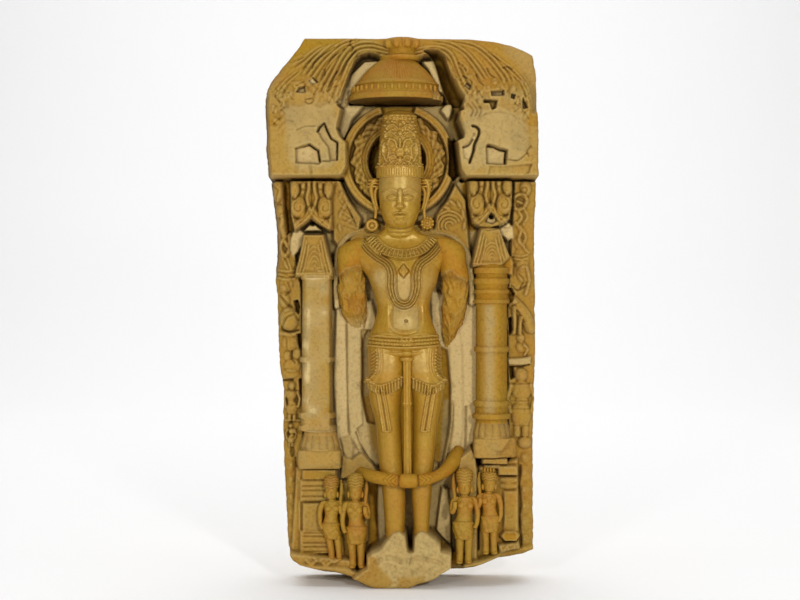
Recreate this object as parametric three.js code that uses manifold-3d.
// A carved stone stele: a god stands under a parasol, in high relief on a broken upright slab, between
// two pillars, four attendants and two panels with elephants. All of it is cut from one block.
// Millimetres, +Z up. The face looks along -Y, and the origin is the middle of the underside of its box.
import * as THREE from "three";
import { mergeVertices } from "three/addons/utils/BufferGeometryUtils.js";
import Module from "manifold-3d";

const wasm = await Module();
wasm.setup();

// The block. Its face is laid out on squares, 549 to the height, as a carver sets out a panel:
// u counts them to the right of the figure's axis, v counts them up from the foot.
const steleHeight = 1098;
const squaresHigh = 549;
const square = steleHeight / squaresHigh;
const slabThickness = 80;
const backChamfer = 14;
const footingDepth = 60;
const footingDrop = 30;

// How far each storey of the carving stands proud of the ground, which is the front of the slab.
const ledgeRise = 90;
const stripRise = 36;
const canopyRise = 58;
const panelRise = 95;
const webRise = 34;
const capitalRise = 74;
const bracketRise = 62;
const pedestalRise = 74;
const backingRise = 52;
const stumpRise = 118;
const haloRise = 34;
const rimRise = 30;
const scarRise = 12;
const envelopeRise = 180;

// Turned and rounded members.
const pillarRadius = 30.5;
const pillarAxisRise = 42;
const parasolRadius = 98;
const parasolAxisRise = 46;
const branchRadius = 8;
const boughs = 5;
const haloOuterRadius = 116;
const haloInnerRadius = 74;
const haloBandWidth = 17;
const haloLeafRadius = 14;
const haloLeaves = 12;
const mouldingStep = 6;

// Embedding of a raised piece in what carries it.
const bite = 8;

const forward = new THREE.Vector3(0, -1, 0);

// A point of the face: u and v in squares, and its rise above the ground in millimetres.
function at(u, v, rise) {
  return new THREE.Vector3(u * square, -(slabThickness + rise), v * square);
}

// A closed manifold solid from corner points and triangles, with its faces turned outwards.
function solidFrom(positions, faces) {
  const corner = (i) => new THREE.Vector3().fromArray(positions, 3 * i);
  let volume = 0;
  for (const [a, b, c] of faces) volume += corner(a).dot(corner(b).cross(corner(c)));
  const outward = volume < 0 ? faces.map(([a, b, c]) => [a, c, b]) : faces;
  const mesh = new wasm.Mesh({
    numProp: 3,
    vertProperties: new Float32Array(positions),
    triVerts: new Uint32Array(outward.flat()),
  });
  return new wasm.Manifold(mesh);
}

// A closed solid from a three.js geometry.
function solid(geometry) {
  const loose = geometry.index ? geometry.toNonIndexed() : geometry;
  const shell = new THREE.BufferGeometry().setAttribute("position", loose.getAttribute("position"));
  const merged = mergeVertices(shell, 1e-3);
  const index = Array.from(merged.index.array);
  const faces = [];
  for (let i = 0; i < index.length; i += 3) {
    const [a, b, c] = index.slice(i, i + 3);
    if (a !== b && b !== c && c !== a) faces.push([a, b, c]);
  }
  return solidFrom(Array.from(merged.attributes.position.array), faces);
}

// Triangles that close a ring of points and run round it the way the ring does.
function capOf(ring) {
  const normal = new THREE.Vector3();
  ring.forEach((p, i) => normal.add(p.clone().cross(ring[(i + 1) % ring.length])));
  normal.normalize();
  const across = new THREE.Vector3().subVectors(ring[1], ring[0]).normalize();
  across.addScaledVector(normal, -across.dot(normal)).normalize();
  const up = new THREE.Vector3().crossVectors(normal, across);
  const flat = ring.map((p) => new THREE.Vector2(p.dot(across), p.dot(up)));
  return THREE.ShapeUtils.triangulateShape(flat, []).map(([a, b, c]) => {
    const turn = flat[b].clone().sub(flat[a]).cross(flat[c].clone().sub(flat[a]));
    return turn > 0 ? [a, b, c] : [a, c, b];
  });
}

// A closed skin over rings of points that follow each other, with a flat cap on each end ring.
function skin(rings) {
  const count = rings[0].length;
  const faces = [];
  for (let r = 0; r + 1 < rings.length; r++)
    for (let i = 0; i < count; i++) {
      const a = r * count + i;
      const b = r * count + ((i + 1) % count);
      faces.push([a, b, b + count], [a, b + count, a + count]);
    }
  for (const [a, b, c] of capOf(rings[0])) faces.push([a, c, b]);
  const last = (rings.length - 1) * count;
  for (const [a, b, c] of capOf(rings.at(-1))) faces.push([last + a, last + b, last + c]);
  return solidFrom(rings.flat().flatMap((p) => p.toArray()), faces);
}

// Points round a full circle from its front, each placed by its cosine and sine.
function circle(sides, place) {
  return Array.from({ length: sides }, (_, i) => {
    const angle = Math.PI / 2 + (2 * Math.PI * i) / sides;
    return place(Math.cos(angle), Math.sin(angle));
  });
}

// A plate cut to an outline in squares, between two rises, with openings cut through it.
function plate(outline, back, front, openings = []) {
  const inMillimetres = (points) => points.map(([u, v]) => new THREE.Vector2(u * square, v * square));
  const shape = new THREE.Shape(inMillimetres(outline));
  shape.holes = openings.map((opening) => new THREE.Path(inMillimetres(opening)));
  const cut = new THREE.ExtrudeGeometry(shape, { depth: front - back, bevelEnabled: false });
  cut.translate(0, 0, slabThickness + back).rotateX(Math.PI / 2);
  return solid(cut);
}

function block(u0, u1, v0, v1, back, front) {
  return plate([[u0, v0], [u1, v0], [u1, v1], [u0, v1]], back, front);
}

// A rounded upright form: each level is v, centre u, half width, rise of its axis, half depth, in squares.
function loft(levels, sides) {
  return skin(
    levels.map(([v, u, halfWidth, axis, halfDepth]) =>
      circle(sides, (c, s) => at(u + halfWidth * c, v, (axis + halfDepth * s) * square)),
    ),
  );
}

// The rise in squares of a lofted form's front at a place u, v.
function frontOf(levels, u, v) {
  const order = [...levels].sort((a, b) => a[0] - b[0]);
  const above = Math.max(1, order.findIndex((level) => level[0] >= v));
  const [low, high] = [order[above - 1], order[above]];
  const share = THREE.MathUtils.clamp((v - low[0]) / (high[0] - low[0]), 0, 1);
  const [, centre, halfWidth, axis, halfDepth] = low.map((value, i) => value + share * (high[i] - value));
  const offset = THREE.MathUtils.clamp((u - centre) / halfWidth, -0.98, 0.98);
  return axis + halfDepth * Math.sqrt(1 - offset * offset);
}

// A strand along points of u, v and rise, all in squares, with an oval section.
function strand(points, across, deep, sides, steps) {
  const curve = new THREE.CatmullRomCurve3(points.map(([u, v, rise]) => at(u, v, rise * square)));
  const rings = [];
  for (let i = 0; i <= steps; i++) {
    const centre = curve.getPoint(i / steps);
    const along = curve.getTangent(i / steps);
    const side = new THREE.Vector3().crossVectors(along, forward).normalize();
    const out = new THREE.Vector3().crossVectors(side, along);
    rings.push(
      circle(sides, (c, s) =>
        centre
          .clone()
          .addScaledVector(side, across * square * c)
          .addScaledVector(out, deep * square * s),
      ),
    );
  }
  return skin(rings);
}

// A boss: an oval ball at u, v and rise, all in squares, as are its half sizes.
function boss(u, v, rise, halfWidth, halfHeight, halfDepth, sides = 6) {
  const ball = new THREE.SphereGeometry(square, sides, Math.ceil(sides / 2));
  ball.scale(halfWidth, halfDepth, halfHeight);
  const centre = at(u, v, rise * square);
  ball.translate(centre.x, centre.y, centre.z);
  return solid(ball);
}

// A member turned about an upright axis: profile of v in squares and radius in millimetres. What is worn
// away above a level is held back to a greatest rise, and to a least u on its left.
const whole = { above: Infinity, rise: Infinity, left: -Infinity };
function turned(u, axisRise, profile, sides, wear = whole) {
  return skin(
    profile.map(([v, radius]) =>
      circle(sides, (c, s) => {
        const worn = v > wear.above;
        const across = u * square + radius * c;
        const rise = axisRise + radius * s;
        return at(
          (worn ? Math.max(across, wear.left * square) : across) / square,
          v,
          worn ? Math.min(rise, wear.rise) : rise,
        );
      }),
    ),
  );
}

// A block with mouldings: at each level v its sides and its face stand out by a step in millimetres.
function moulded(u0, u1, back, front, profile) {
  return skin(
    profile.map(([v, step]) => [
      at(u0 - step / square, v, back),
      at(u1 + step / square, v, back),
      at(u1 + step / square, v, front + step),
      at(u0 - step / square, v, front + step),
    ]),
  );
}

function joined(pieces) {
  return pieces.reduce((whole, piece) => whole.add(piece));
}

// The broken outline of the stone's face, down its left side, along its foot and up its right side.
const stoneOutline = [
  [-99, 548], [-106, 536], [-110, 530], [-120, 520], [-130, 507], [-138.5, 496], [-139, 490],
  [-136, 465], [-133.5, 427], [-133, 404], [-127.5, 374], [-124, 360], [-125.5, 327], [-125.5, 281],
  [-123, 235], [-120, 204], [-119, 158], [-116.5, 121], [-114.5, 71], [-112.5, 46], [-106, 22],
  [-87, 14.5], [-58, 9], [-46, 5], [-28.5, 0], [8, 0], [28, 6], [48, 16.5], [74, 19.5], [94, 28.5],
  [129, 38], [129, 54], [128, 136], [129, 169], [131, 225], [132, 266], [131.5, 305], [130, 347],
  [130, 368], [133.5, 405], [135.5, 427], [135, 458], [132.5, 501], [130, 529], [119.5, 534],
  [108.5, 540], [91, 543], [51, 546], [24, 547], [13, 549], [-14, 549], [-25, 547.5], [-58, 548],
];
const footHeight = 45;

// The outer form that all carving is cut back to. At the back its edges are chamfered, and its foot drops
// to a flat footing that the broken front edge hides.
function envelope() {
  const ring = (depth, inset) => {
    const reach = ledgeRise + slabThickness - footingDepth;
    const frontShare = THREE.MathUtils.clamp((depth - footingDepth) / reach, 0, 1);
    return stoneOutline.map(([u, v]) => {
      const nearFoot = THREE.MathUtils.clamp((footHeight - v) / (footHeight / 2), 0, 1);
      const dropped = v - ((nearFoot * footingDrop) / square) * (1 - frontShare);
      const insetShare = inset / (steleHeight / 2);
      const low = Math.max(0, dropped);
      const lifted = low > footHeight ? low - insetShare * (low - squaresHigh / 2) : low;
      return at(u * (1 - 2 * insetShare), lifted, depth - slabThickness);
    });
  };
  return skin([
    ring(0, backChamfer),
    ring(backChamfer, 0),
    ring(footingDepth, 0),
    ring(slabThickness + ledgeRise, 0),
    ring(slabThickness + envelopeRise, 0),
  ]);
}

// The slab itself, the base ledge in front of it, and the narrow strips of carving along both edges.
function slab() {
  const body = block(-150, 150, -10, squaresHigh + 10, -slabThickness - 1, 0);
  const ledge = plate(
    [[-130, 0], [150, 0], [150, 46], [108, 46], [100, 36], [62, 33], [40, 22], [-60, 22], [-75, 26],
    [-130, 36]],
    -bite,
    ledgeRise,
  );
  const leftStrip = plate(
    [[-150, 20], [-103, 20], [-103, 330], [-112, 350], [-116, 372], [-117, 412], [-150, 412]],
    -bite,
    stripRise,
  );
  const rightStrip = plate([[109, 30], [150, 30], [150, 412], [112, 412], [111, 330]], -bite, stripRise);
  return joined([body, ledge, leftStrip, rightStrip]);
}

// The worn panels with elephants: flat faces, cut through to the ground between legs, belly and trunk.
function elephantPanels() {
  const left = plate(
    [
      [-150, 489], [-150, 408.5], [-66, 408.5], [-60, 410], [-56, 419], [-56.5, 436], [-63, 451],
      [-65, 458], [-57.5, 481], [-57, 489],
    ],
    -bite,
    panelRise,
    [
      [[-107, 436.5], [-93, 441.5], [-83.5, 435.5], [-82, 428], [-83.5, 422.5], [-106, 423.5]],
      [
        [-78.5, 462.5], [-72, 447], [-65.5, 443.5], [-66.5, 426.5], [-74, 426.5], [-75.5, 439],
        [-81, 446.5], [-85.5, 455.5],
      ],
      [[-98, 487], [-88.5, 487], [-93, 482]],
    ],
  );
  const right = plate(
    [
      [55, 489], [55, 476], [60, 450], [53, 446.5], [54.5, 433], [56, 417], [61, 409], [150, 408],
      [150, 489],
    ],
    -bite,
    panelRise,
    [
      [[69.5, 460], [77, 455], [75.5, 449.5], [70, 441.5], [65, 422.5], [60, 422.5], [60.5, 438],
      [66, 442], [70.5, 449], [71, 453.5], [65.5, 457]],
      [[83, 439], [86, 441], [96, 437.5], [104, 436], [103, 422.5], [83.5, 423]],
      [[106, 420], [128, 421], [120, 411], [109, 412]],
      [[80.5, 486], [93, 484], [89, 477]],
    ],
  );
  return left.add(right);
}

// The tree over the parasol: a raised band, hollowed beside the parasol, with boughs that droop to the sides.
function canopy() {
  const band = plate(
    [[-150, 480], [-52, 480], [-48, 500], [-40, 524], [-30, 532], [-19, 530], [17, 530], [33, 532],
      [40, 524], [46, 500], [55, 480], [150, 480], [150, 560], [-150, 560]],
    -bite,
    canopyRise,
  );
  const pieces = [band];
  const radius = branchRadius / square;
  const front = canopyRise / square;
  for (const [side, axis] of [[-1, -4], [1, -1]]) {
    for (let k = 0; k < boughs; k++) {
      const reach = 54 + 15.5 * k;
      const start = [axis + side * (20 + 3 * k), 533 + 2.5 * k, front + 2];
      const top = [axis + side * (0.72 * reach + 3), 529 + 2.8 * k, front + 6 - 0.5 * k];
      const knee = [axis + side * (reach - 2), 512 + 2 * k, front + 4 - 0.5 * k];
      const end = [axis + side * reach, 491, front + 1];
      pieces.push(strand([start, top, knee, end], 0.9 * radius, radius, 3, 4));
    }
  }
  return joined(pieces);
}

// The parasol: a lotus finial over a dome with two mouldings and a valance.
function parasol() {
  const share = (part) => part * parasolRadius;
  const axis = -5;
  const dome = turned(
    axis,
    parasolAxisRise,
    [
      [479, share(0.9)], [481, share(1)], [490, share(0.97)], [491, share(0.92)], [498, share(0.86)],
      [499, share(0.8)], [506, share(0.67)], [513, share(0.52)], [516, share(0.4)], [522, share(0.3)],
      [524, share(0.36)], [528, share(0.36)],
    ],
    18,
  );
  const stem = turned(axis + 4, parasolAxisRise, [[527, 28], [536, 26], [540, 31]], 10);
  const petals = [];
  for (const [u, lean] of [[-12, -3], [-4, -1], [4, 1], [12, 3]])
    petals.push(boss(axis + 4 + u + lean, 543.5, 30, 4.6, 6, 11, 5));
  return joined([dome, stem, ...petals]);
}

// The halo: an outer and an inner band about the head, with a ring of curled leaves between them.
function halo() {
  const centreU = -5;
  const centreV = 425;
  const ring = (outer, width, rise) => {
    const section = [
      [outer - width, -bite], [outer, -bite], [outer, 0.8 * rise], [outer - 0.4 * width, rise],
      [outer - width, 0.8 * rise],
    ].map(([r, h]) => new THREE.Vector2(r, h));
    section.push(section[0]);
    const band = new THREE.LatheGeometry(section, 20);
    band.rotateX(Math.PI);
    band.translate(centreU * square, -slabThickness, centreV * square);
    return solid(band);
  };
  const pieces = [
    ring(haloOuterRadius, haloBandWidth, haloRise),
    ring(haloInnerRadius, haloBandWidth, 1.1 * haloRise),
  ];
  const leafRing = (haloOuterRadius - haloBandWidth + haloInnerRadius) / 2;
  for (let k = 0; k < haloLeaves; k++) {
    const angle = ((-35 + (250 * k) / (haloLeaves - 1)) * Math.PI) / 180;
    const u = centreU + (leafRing * Math.cos(angle)) / square;
    const v = centreV + (leafRing * Math.sin(angle)) / square;
    const half = haloLeafRadius / square;
    pieces.push(boss(u, v, 3, half, half, 12, 4));
  }
  for (const [u, v, half] of [[-52, 380, 11], [-58, 364, 9], [-45, 368, 9], [43, 364, 10], [55, 367, 9],
    [47, 378.5, 8]])
    pieces.push(boss(u, v, 3, half, half * 0.9, 12, 4));
  return joined(pieces);
}

// One side pillar on its fluted foot and plinth. The left one's shaft has worn flat and lost its left side.
function pillar(u, worn) {
  const wide = (step) => pillarRadius + step;
  const lift = worn ? 0 : 12;
  const wear = worn ? { above: 156, rise: pillarAxisRise + 0.72 * pillarRadius, left: u - 16 } : whole;
  const profile = worn
    ? [[306, wide(2)]]
    : [[322, wide(4)], [316, wide(7)], [311, wide(1)], [303, wide(6)], [294, wide(6)], [290, wide(0)]];
  for (const v of worn ? [226, 170] : [236, 182])
    profile.push([v + 4, wide(0)], [v, wide(mouldingStep)], [v - 4, wide(0)]);
  profile.push([158 + lift, wide(0)], [155 + lift, wide(6)], [150 + lift, wide(3)]);
  profile.push([146 + lift, wide(8)], [137 + lift, wide(9)], [134 + lift, wide(4)]);
  const pieces = [turned(u, pillarAxisRise, profile, 9, wear)];
  for (let k = -2; k <= 2; k++) {
    const angle = (k * Math.PI) / 6;
    const radius = wide(7) / square;
    const across = u + radius * Math.sin(angle);
    const proud = pillarAxisRise / square + radius * Math.cos(angle);
    pieces.push(boss(across, 143 + lift, proud, 4, 8, 3, 4));
  }
  pieces.push(block(u - 21, u + 21, 117 + lift, 135 + lift, -bite, capitalRise));
  pieces.push(block(u - 17, u + 17, 110, 406, -bite, webRise));
  return joined(pieces);
}

// A bell capital under a bracket: a trapezoid with ribs that lean in, on an abacus.
function capital(u, bottom, top, ribs) {
  const foot = 18;
  const head = 10;
  const body = skin([
    [at(u - foot, bottom, -bite), at(u + foot, bottom, -bite), at(u + foot, bottom, capitalRise),
    at(u - foot, bottom, capitalRise)],
    [at(u - head, top, -bite), at(u + head, top, -bite), at(u + head, top, 0.82 * capitalRise),
    at(u - head, top, 0.82 * capitalRise)],
  ]);
  const pieces = [body];
  pieces.push(moulded(u - head, u + head, -bite, 0.82 * capitalRise, [[top - 1, 0], [top, 3],
    [top + 3, 3], [top + 4, 0]]));
  pieces.push(moulded(u - foot, u + foot, -bite, capitalRise, [[bottom - 6, -2], [bottom - 5, 2],
    [bottom - 1, 3], [bottom + 1, 0]]));
  for (let k = 0; k < ribs; k++) {
    const inset = 2.5 + (k * (foot - 4)) / ribs;
    const low = bottom + 3 + 2 * k;
    const high = bottom + (top - bottom) * (0.93 - (0.62 * k) / ribs);
    const riseAt = (v) => (capitalRise * (1 - (0.18 * (v - bottom)) / (top - bottom))) / square;
    const middle = (low + high) / 2;
    const narrow = inset * 0.35;
    pieces.push(
      strand(
        [
          [u - foot + inset + 2, low, riseAt(low)], [u - foot + inset + 4.5, middle, riseAt(middle)],
          [u - narrow * 0.2, high, riseAt(high)], [u + foot - inset - 4.5, middle, riseAt(middle)],
          [u + foot - inset - 2, low, riseAt(low)],
        ],
        0.9, 1.6, 4, 4,
      ),
    );
  }
  return joined(pieces);
}

// Two squat lions sit back to back on a bracket, under the panel.
function brackets(u, floor, ceiling) {
  const rise = bracketRise / square;
  const back = block(u - 20, u + 20, floor + 6, ceiling + 4, -bite, 0.75 * bracketRise);
  const pieces = [back];
  const height = ceiling - floor;
  for (const side of [-1, 1]) {
    const body = u + side * 10.5;
    pieces.push(
      strand([[u + side * 3, floor + 0.42 * height, rise - 2],
        [u + side * 10, floor + 0.2 * height, rise],
        [u + side * 17, floor + 0.02 * height, rise - 4]], 5, 7, 5, 2),
      boss(body, floor + 0.5 * height, rise, 8, 8.5, 9, 5),
      boss(u + side * 16, floor + 0.82 * height, rise - 6, 5, 9, 12, 5),
      boss(u + side * 5, floor + 0.82 * height, rise - 6, 4.5, 9, 11, 5),
    );
  }
  return joined(pieces);
}

// The pedestal under a pillar: plinths and fillets over and under a sunk panel.
function pedestal(u0, u1, top, bottom) {
  const height = top - bottom;
  const level = (share) => bottom + share * height;
  const step = mouldingStep;
  return moulded(u0, u1, -bite, pedestalRise, [
    [level(0) - 12, 2 * step], [level(0.09), 2 * step], [level(0.1), step], [level(0.18), step],
    [level(0.19), 1.7 * step],
    [level(0.25), 1.7 * step], [level(0.3), 0], [level(0.6), 0], [level(0.65), step], [level(0.72), step],
    [level(0.73), 2 * step], [level(0.8), 2 * step], [level(0.81), step], [level(0.88), step],
    [level(0.9), 2.4 * step],
    [level(1), 2.4 * step],
  ]);
}

// A small figure that stands in relief, laid out on shares of its own height.
function attendant(u, foot, height, sway, axis, crowned) {
  const h = (share) => foot + share * height;
  const w = (share) => share * height;
  const lean = (share) => u + sway * Math.sin(Math.PI * share);
  const level = ([share, halfWidth, halfDepth]) => [h(share), lean(share), w(halfWidth), axis, w(halfDepth)];
  const figure = loft(
    [
      [-0.05, 0.12, 0.09], [0.28, 0.11, 0.09], [0.47, 0.14, 0.11], [0.58, 0.09, 0.085], [0.71, 0.125, 0.115],
      [0.78, 0.05, 0.05], [0.83, 0.07, 0.09], [0.92, crowned ? 0.08 : 0.095, 0.1],
      [crowned ? 1.02 : 0.99, 0.05, 0.05],
    ].map(level),
    6,
  );
  const arms = [-1, 1].map((side) => {
    const hand = side < 0 ? [lean(0.62) - w(0.05), h(0.64), axis + w(0.11)] : [lean(0.45) + w(0.16),
      h(0.42), axis];
    const shoulder = [lean(0.73) + side * w(0.12), h(0.73), axis];
    const elbow = [lean(0.6) + side * w(0.17), h(0.56), axis];
    return strand([shoulder, elbow, hand], w(0.045), w(0.055), 3, 2);
  });
  return joined([figure, ...arms]);
}

// A beast that rears up along an edge strip.
function rearingBeast(u, foot, height, rise) {
  return joined([
    boss(u, foot + 0.32 * height, rise, 8, 0.3 * height, 14, 5),
    boss(u, foot + 0.78 * height, rise, 6, 0.26 * height, 12, 5),
  ]);
}

// What is carved on the two edge strips, from the foot up.
function strips() {
  const rise = stripRise / square;
  const pieces = [];
  for (const [u, side] of [[-112, -1], [119, 1]]) {
    pieces.push(
      block(u - 9, u + 9, 215, 220, stripRise - bite, stripRise + 18),
      block(u - 9, u + 9, 138, 142, stripRise - bite, stripRise + 12),
      rearingBeast(u, 220, 60, rise),
      rearingBeast(u - 2 * side, 345, 58, rise - 4),
      attendant(u + side, 146, 68, 1.5 * side, rise + 2, true),
      boss(u + side, 306, rise - 2, 8, 22, 12, 5),
    );
    for (let k = 0; k < 3; k++)
      pieces.push(boss(u + side * 4, 120 - 28 * k, rise - 4, 6, 13, 9, 4));
  }
  return joined(pieces);
}

// The god's body: lofted levels of trunk and legs, which ornaments also follow.
const trunk = [
  [352, -3.5, 20, 29, 12], [346, -3, 34, 28, 15], [339, -2.5, 46, 28, 18], [329, -2, 44, 28, 22],
  [313, -0.5, 35.5, 28, 24.5], [303, 0, 32, 28, 24.5], [290, 0, 28.5, 28, 22.5], [277, 0.3, 26.3, 28, 21],
  [264, 0.5, 29, 28, 22.5], [252.5, 0.5, 33, 28, 23], [251.5, 0.5, 35, 28, 25], [239.5, 1, 37, 28, 25],
  [238.5, 1, 35.5, 28, 22],
];
const legs = [
  [
    [240, -15, 21, 27, 21], [221, -14.5, 20.5, 27, 22], [188, -17.5, 16.5, 27.5, 21],
    [159, -14.5, 12.5, 29, 19],
    [131, -13.2, 11.8, 30, 17.5], [98, -11, 10, 32.5, 14.5], [66, -9.8, 8.6, 33, 12],
    [50, -9.8, 7.2, 33, 10.5],
  ],
  [
    [240, 17, 21, 27, 21], [221, 18.5, 20.5, 27, 22], [188, 24, 16, 27.5, 21], [159, 22, 13, 29, 19],
    [131, 20.5, 11.5, 30, 17.5], [98, 18.5, 10.5, 32.5, 14.5], [66, 18.5, 8.2, 33, 12],
    [50, 18.3, 7.2, 33, 10.5],
  ],
];
const headAxis = -3;
const headLevels = [
  [357.5, headAxis, 9, 40, 12], [361, headAxis, 13.5, 39, 17], [366, headAxis, 16.5, 38, 20],
  [377, headAxis, 19.4, 37, 22],
  [390, headAxis, 21, 36.5, 23], [398, headAxis, 21.4, 36, 23.5], [411, headAxis, 21, 36, 23],
];

function body() {
  const neck = loft([[346, -3.5, 19, 31, 14], [353, -3.5, 15, 33, 12.5], [364, headAxis, 14, 35, 13]], 10);
  const pieces = [loft(trunk, 14), neck];
  for (const leg of legs) {
    pieces.push(loft(leg, 9));
    const centre = leg[5][1];
    pieces.push(block(centre - 6, centre + 6, 44, 240, -bite, 30 * square));
  }
  pieces.push(block(-20, 22, 226, 352, -bite, 22 * square));
  return joined(pieces);
}

// The head: calm and plain, with brows, long eyes, nose and mouth laid out on thirds of the face.
function head() {
  const chin = 358;
  const brow = 393;
  const third = (brow - chin) / 2;
  const front = (u, v) => frontOf(headLevels, headAxis + u, v);
  const pieces = [loft(headLevels, 12), block(headAxis - 8, headAxis + 8, 356, 468, -bite, 36 * square)];
  const noseTip = chin + third;
  pieces.push(
    skin([
      [at(headAxis - 1.2, brow, 55 * square), at(headAxis + 1.2, brow, 55 * square), at(headAxis + 0.8,
      brow, (front(0, brow) + 0.8) * square), at(headAxis - 0.8, brow, (front(0, brow) + 0.8) * square)],
      [at(headAxis - 4, noseTip, 52 * square), at(headAxis + 4, noseTip, 52 * square), at(headAxis + 2.2,
      noseTip, (front(0, noseTip) + 5) * square), at(headAxis - 2.2, noseTip, (front(0,
      noseTip) + 5) * square)],
    ]),
    boss(headAxis, chin + 0.55 * third, front(0, chin + 0.55 * third) - 0.6, 6, 2.4, 2.4, 6),
    boss(headAxis, chin + 4, front(0, chin + 4) - 1.5, 5, 4, 3, 6),
  );
  for (const side of [-1, 1]) {
    const eye = headAxis + side * 9;
    pieces.push(
      boss(eye, brow - 0.35 * third, front(side * 9, brow - 0.35 * third) - 0.8, 5.6, 2.6, 2.2, 6),
      strand(
        [[headAxis + side * 2, brow, front(2, brow)], [headAxis + side * 9, brow + 3, front(9, brow + 3)],
        [headAxis + side * 17, brow - 1, front(17, brow - 1)]],
        1, 1.2, 3, 3,
      ),
      strand([[headAxis + side * 21.5, 404, 36], [headAxis + side * 25.5, 392, 36],
        [headAxis + side * 26, 366, 38]], 3, 5, 4, 3),
      boss(side < 0 ? -31 : 24.5, side < 0 ? 361 : 363.5, 38, side < 0 ? 6.5 : 8, side < 0 ? 6.5 : 8, 5),
    );
  }
  return joined(pieces);
}

// The tall crown: a band, a swelling body and a domed top, with leaf-shaped plates in front.
function crown() {
  const levels = [
    [408, headAxis, 22.6, 36, 24], [409, headAxis, 23.4, 36, 25], [418, headAxis, 23.4, 36, 25],
    [419.5, headAxis, 22.2, 36, 23.5],
    [444, headAxis, 20.5, 36, 22], [462, headAxis, 18, 36, 19.5], [470, headAxis, 15.5, 36, 17],
    [473, headAxis, 10, 36, 11],
  ];
  const pieces = [loft(levels, 12)];
  const plateAt = (u, v, halfWidth, halfHeight) =>
    boss(headAxis + u, v, frontOf(levels, headAxis + u, v) - 2.4, halfWidth, halfHeight, 4.2, 5);
  pieces.push(plateAt(0, 450, 8, 12), plateAt(0, 430, 9, 8));
  for (const side of [-1, 1])
    pieces.push(plateAt(side * 13, 431, 4.5, 9), plateAt(side * 12.5, 452, 4, 9));
  return joined(pieces);
}

// The broken arms: shoulders that end in rough stumps, the rim round the shoulders, and the scars of the
// hands' attributes that have split off beside the body.
function arms() {
  const left = loft(
    [[342, -45, 10, 27, 9], [337, -50, 14.5, 26, 14], [326, -52, 14, 24, 15], [312, -51, 13, 20, 14],
    [294, -50.5, 12.5, 15, 11], [275, -49, 9, 12, 9], [261, -46, 7, 6, 8]],
    7,
  );
  const right = loft(
    [[343, 42, 10, 27, 9], [337, 47.5, 14, 26, 14], [326, 50, 14, 25, 16], [304, 52, 12.5, 22, 15],
    [275, 51, 11, 16, 12], [250, 46, 6, 10, 9], [241, 42, 3, 6, 6]],
    7,
  );
  const rimDeep = rimRise / square;
  const rims = [
    strand([[-40, 352, 4], [-57, 346, 6], [-66, 334, 6], [-68, 313, 4], [-68, 292, 2]], 3, rimDeep - 4, 3, 5),
    strand([[29, 354, 4], [50, 349, 6], [64, 330, 6], [69.5, 300, 4],
      [69.5, 278, 2]], 3.4, rimDeep - 4, 3, 5),
  ];
  const scars = [
    plate([[-58, 262], [-45, 268], [-36, 240], [-37, 190], [-30, 150], [-33, 112], [-56, 116],
      [-56, 200]], -bite, scarRise),
    plate([[43, 256], [58, 250], [59, 150], [54, 128], [37, 128], [38, 160], [44, 200]], -bite, scarRise),
  ];
  return joined([left, right, ...rims, ...scars]);
}

// Collar, long necklace, pendant, belt, looped chains over the thighs, sashes and the hanging tassel.
function ornaments() {
  const onTrunk = (points, lift) => points.map(([u, v]) => [u, v, frontOf(trunk, u, v) + lift]);
  const pieces = [
    strand(onTrunk([[-22, 348], [-17, 338], [-3, 331], [12, 338], [19, 348]], -1), 5, 3.2, 3, 6),
    strand(onTrunk([[-14, 334], [-11.5, 310], [-9, 290], [0.5, 280], [10, 290], [12.5, 310],
      [11, 334]], -0.4), 3, 2.2, 3, 8),
    boss(0.5, 315, frontOf(trunk, 0, 315), 4, 5, 2, 4),
  ];
  pieces.push(boss(3.5, 246, 51, 7, 5.5, 5));
  for (const [index, side] of [[0, -1], [1, 1]]) {
    const centre = legs[index][1][1];
    const onLeg = (points, lift) => points.map(([u, v]) => [centre + u, v, frontOf(legs[index], centre + u,
      v) + lift]);
    const loop = onLeg([[-16, 238], [-12, 216], [0, 203], [12, 216], [16, 238]], -0.2);
    const sash = onLeg([[-side * 2, 232], [side * 1, 196], [side * 4, 158]], -0.6);
    pieces.push(strand(loop, 3.4, 2.2, 3, 4), strand(sash, 4, 2.6, 3, 2));
  }
  pieces.push(
    block(0.5, 7.5, 113, 244, -bite, 50 * square),
    boss(4, 234.5, 50, 7, 6.5, 6),
    boss(4, 117, 50, 5.5, 8, 6, 5),
  );
  return joined(pieces);
}

// The heavy garland that sags across the shins, with a clasp.
function garland() {
  const rope = strand(
    [
      [-42, 121, 22], [-35, 117, 38], [-25, 112, 50], [-14, 109, 55], [4.5, 108, 56], [28, 110, 53],
      [42, 116, 42],
      [52, 125, 30], [59, 134, 18],
    ],
    6.8, 7.5, 7, 10,
  );
  return rope.add(boss(5, 108.5, 60, 7, 7, 5, 6));
}

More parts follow.
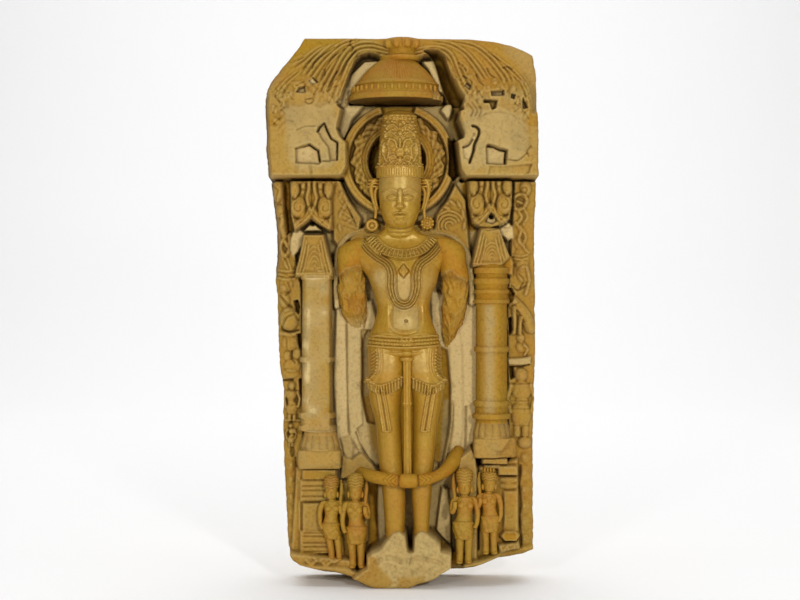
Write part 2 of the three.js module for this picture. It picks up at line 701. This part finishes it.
// The broken stump of feet and lotus seat at the foot of the stone.
function stump() {
  const outline = [
    [-33, 33], [-20.5, 40], [-12, 50], [-5, 55], [2.5, 50], [5, 37], [9, 36], [12.5, 50], [17, 55], [26, 50],
    [37, 40], [48, 35], [49, 14], [28, 4], [8, -2], [-29, -2], [-46, 3], [-40, 20],
  ];
  const centre = [2, 24];
  const ring = (share, rise) => outline.map(([u, v]) => at(centre[0] + share * (u - centre[0]),
    centre[1] + share * (v - centre[1]), rise));
  return skin([ring(1, -bite), ring(1, 0.76 * stumpRise), ring(0.86, stumpRise)]);
}

// The ledges and slabs that carry the attendants on both sides of the shins.
function backing() {
  return joined([
    block(-104, -34, 12, 112, -bite, backingRise),
    block(-62, -38, 110, 124, -bite, backingRise + 14),
    block(46, 112, 20, 104, -bite, backingRise),
    block(57, 75, 100, 128, -bite, backingRise),
    boss(66, 128, backingRise / square / 2, 9, 9, backingRise / square / 2, 8),
  ]);
}

const carving = joined([
  slab(),
  elephantPanels(),
  canopy(),
  parasol(),
  halo(),
  pillar(-84.5, true),
  pillar(89.3, false),
  capital(-87.5, 313, 351, 2),
  capital(88.5, 322, 356, 2),
  brackets(-90.5, 356, 405),
  brackets(88.5, 359, 405),
  pedestal(-99, -78, 119, 23),
  pedestal(100, 112, 129, 34),
  backing(),
  attendant(-71, 25, 87, 1.5, 35, false),
  attendant(-47, 20, 89, -1.5, 38, false),
  attendant(61.5, 26, 89, 1.5, 38, false),
  attendant(87, 33, 84, -1.5, 35, true),
  strips(),
  body(),
  head(),
  crown(),
  arms(),
  ornaments(),
  garland(),
  stump(),
]).intersect(envelope());

// The finished stone as a three.js mesh, moved so that the middle of its box's underside is the origin.
function meshOf(name, piece, material) {
  const made = piece.getMesh();
  const geometry = new THREE.BufferGeometry();
  geometry.setAttribute("position", new THREE.BufferAttribute(new Float32Array(made.vertProperties), 3));
  geometry.setIndex(new THREE.BufferAttribute(new Uint32Array(made.triVerts), 1));
  geometry.computeVertexNormals();
  const mesh = new THREE.Mesh(geometry, material);
  mesh.name = name;
  return mesh;
}

const sandstone = new THREE.MeshStandardMaterial({ color: 0xb08a3c, roughness: 0.72, metalness: 0 });
const stele = meshOf("stele", carving, sandstone);
const bounds = new THREE.Box3().setFromObject(stele);
stele.position.set(-(bounds.min.x + bounds.max.x) / 2, -(bounds.min.y + bounds.max.y) / 2, -bounds.min.z);

const group = new THREE.Group();
group.add(stele);
export default group;
